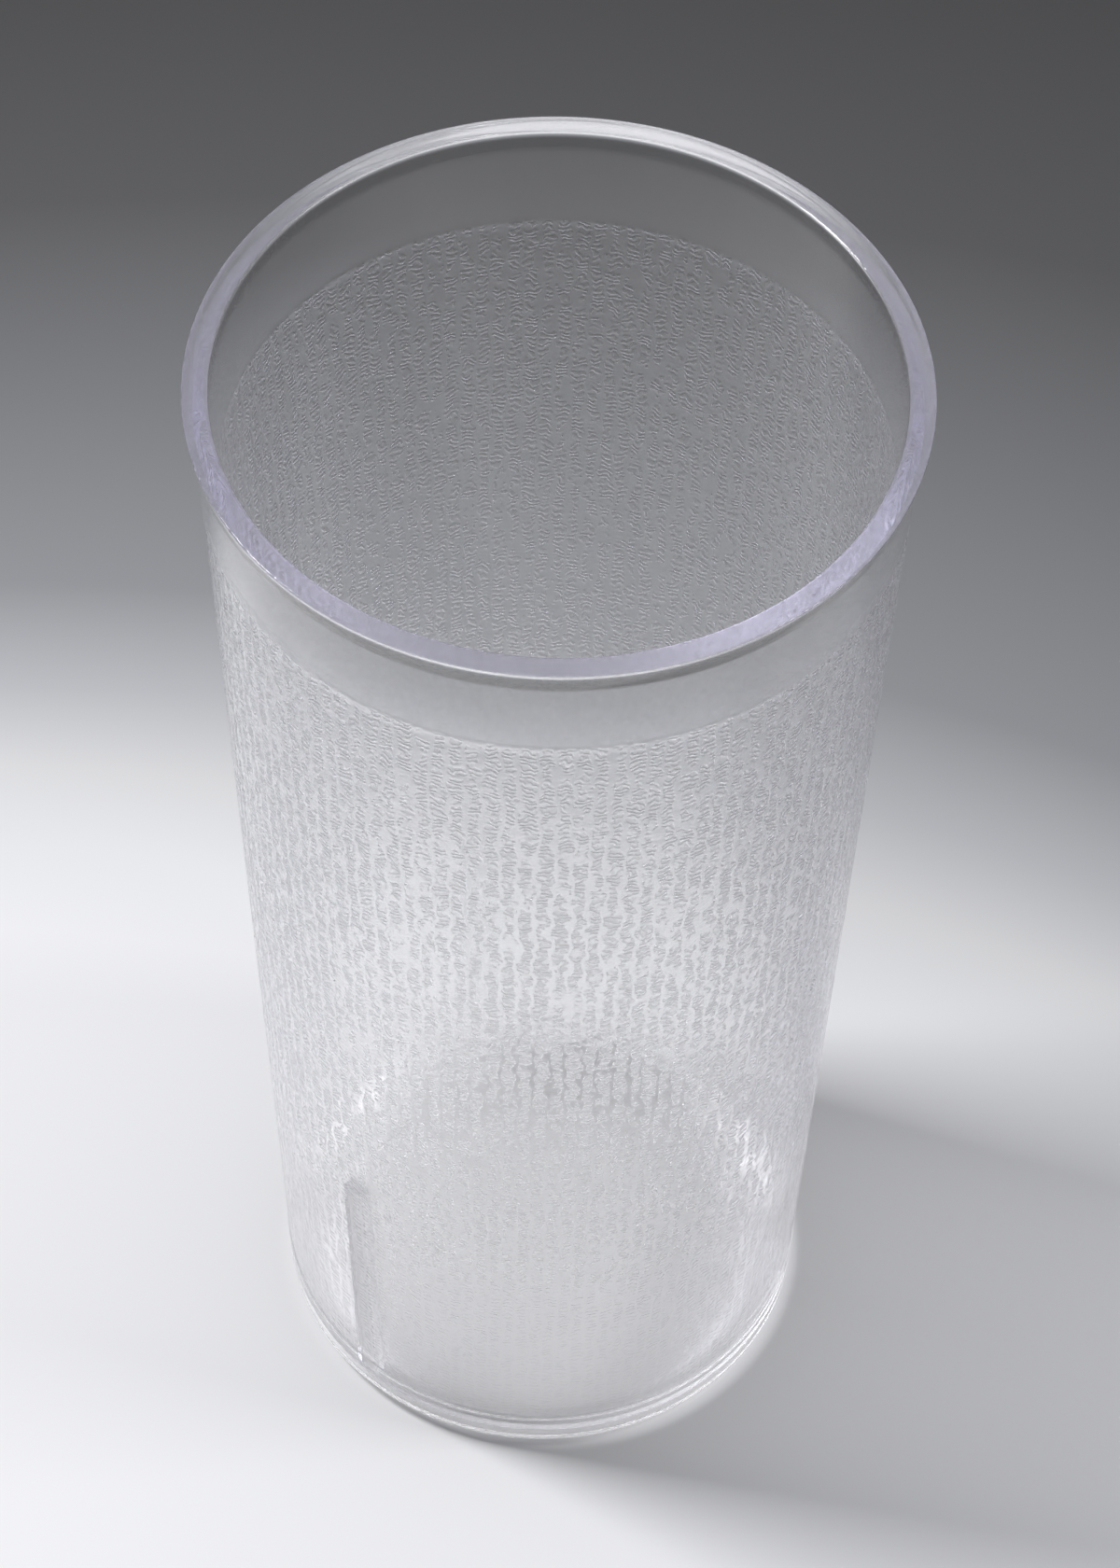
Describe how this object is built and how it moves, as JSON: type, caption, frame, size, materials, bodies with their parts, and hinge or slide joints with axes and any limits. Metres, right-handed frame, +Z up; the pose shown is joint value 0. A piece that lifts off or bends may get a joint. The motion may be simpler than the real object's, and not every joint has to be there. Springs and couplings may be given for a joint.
{
  "type": "stacking tumbler",
  "caption": "Tall tapered drinking tumbler of clear plastic, with a flared lip, a crackle-textured outside, a smooth inside and ribs near the floor that hold the next one in a stack.",
  "frame": {"origin": "middle of the foot ring, on the plane that the tumbler stands on", "axes": "+Z up the tumbler's axis to the lip; -Y towards the side that the picture shows"},
  "size_m": [0.0825, 0.0824, 0.165],
  "materials": {
    "clear_plastic": "clear moulded plastic with a faint lavender tint, polished on the lip, band, inside and foot, crackle-textured on the outside"
  },
  "bodies": {
    "root": {"tumbler": "clear_plastic"}
  },
  "joints": []
}
